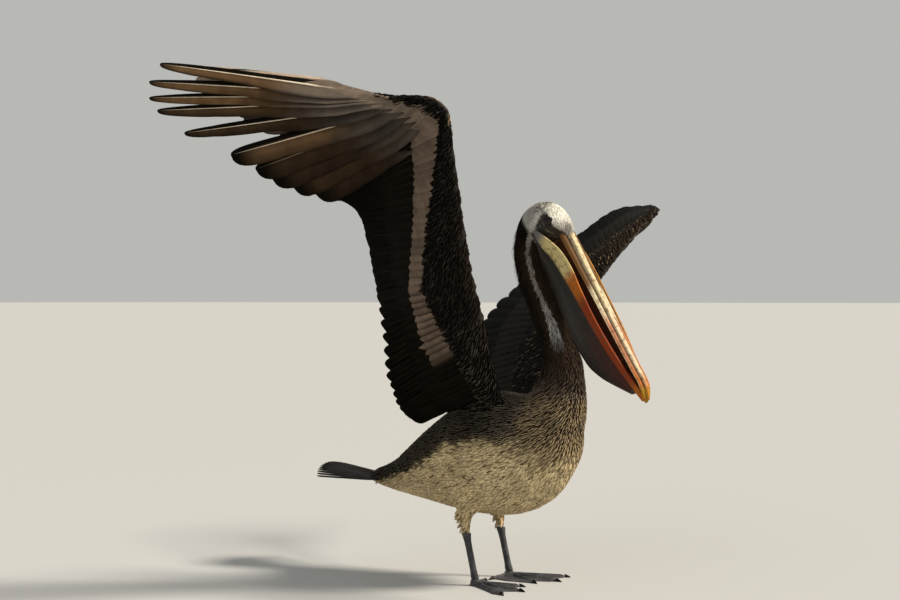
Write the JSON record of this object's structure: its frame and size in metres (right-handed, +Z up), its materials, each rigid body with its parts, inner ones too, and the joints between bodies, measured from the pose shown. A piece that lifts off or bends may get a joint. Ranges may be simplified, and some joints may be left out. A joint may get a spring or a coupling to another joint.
{
  "type": "peruvian pelican",
  "caption": "Life-size still model of a Peruvian pelican standing with both wings raised, neck upright and its long pouched bill pointing down.",
  "frame": {"origin": "middle of the bounding box, on the floor under the feet", "axes": "+Z up, -Y the way the breast faces, +X the bird's left side"},
  "size_m": [1.4726, 0.8252, 0.9895],
  "materials": {
    "feathered_body": "soft overlapping feathers, dark brown above and cream below",
    "flight_quill": "stiff dark quills with pale shafts",
    "bare_skin": "dark grey bare skin, folded on the pouch and scaled on the legs",
    "bill_horn": "satin horn, cream to orange and red",
    "claw_horn": "dark horn",
    "eye_glass": "wet, dark brown"
  },
  "bodies": {
    "root": {"bill_lower": "bill_horn", "bill_upper": "bill_horn", "claw_left_1": "claw_horn", "claw_left_2": "claw_horn", "claw_left_3": "claw_horn", "claw_left_4": "claw_horn", "claw_right_1": "claw_horn", "claw_right_2": "claw_horn", "claw_right_3": "claw_horn", "claw_right_4": "claw_horn", "eye_left": "eye_glass", "eye_right": "eye_glass", "foot_left": "bare_skin", "foot_right": "bare_skin", "forearm_left": "feathered_body", "forearm_right": "feathered_body", "hand_left": "feathered_body", "hand_right": "feathered_body", "head": "feathered_body", "neck_lower": "feathered_body", "neck_upper": "feathered_body", "pouch": "bare_skin", "primary_left_01": "flight_quill", "primary_left_02": "flight_quill", "primary_left_03": "flight_quill", "primary_left_04": "flight_quill", "primary_left_05": "flight_quill", "primary_left_06": "flight_quill", "primary_left_07": "flight_quill", "primary_left_08": "flight_quill", "primary_left_09": "flight_quill", "primary_left_10": "flight_quill", "primary_right_01": "flight_quill", "primary_right_02": "flight_quill", "primary_right_03": "flight_quill", "primary_right_04": "flight_quill", "primary_right_05": "flight_quill", "primary_right_06": "flight_quill", "primary_right_07": "flight_quill", "primary_right_08": "flight_quill", "primary_right_09": "flight_quill", "primary_right_10": "flight_quill", "secondaries_left": "flight_quill", "secondaries_right": "flight_quill", "shank_left": "bare_skin", "shank_right": "bare_skin", "tail": "flight_quill", "tertials_left": "flight_quill", "tertials_right": "flight_quill", "thigh_left": "feathered_body", "thigh_right": "feathered_body", "trunk": "feathered_body", "upper_arm_left": "feathered_body", "upper_arm_right": "feathered_body"}
  },
  "joints": []
}
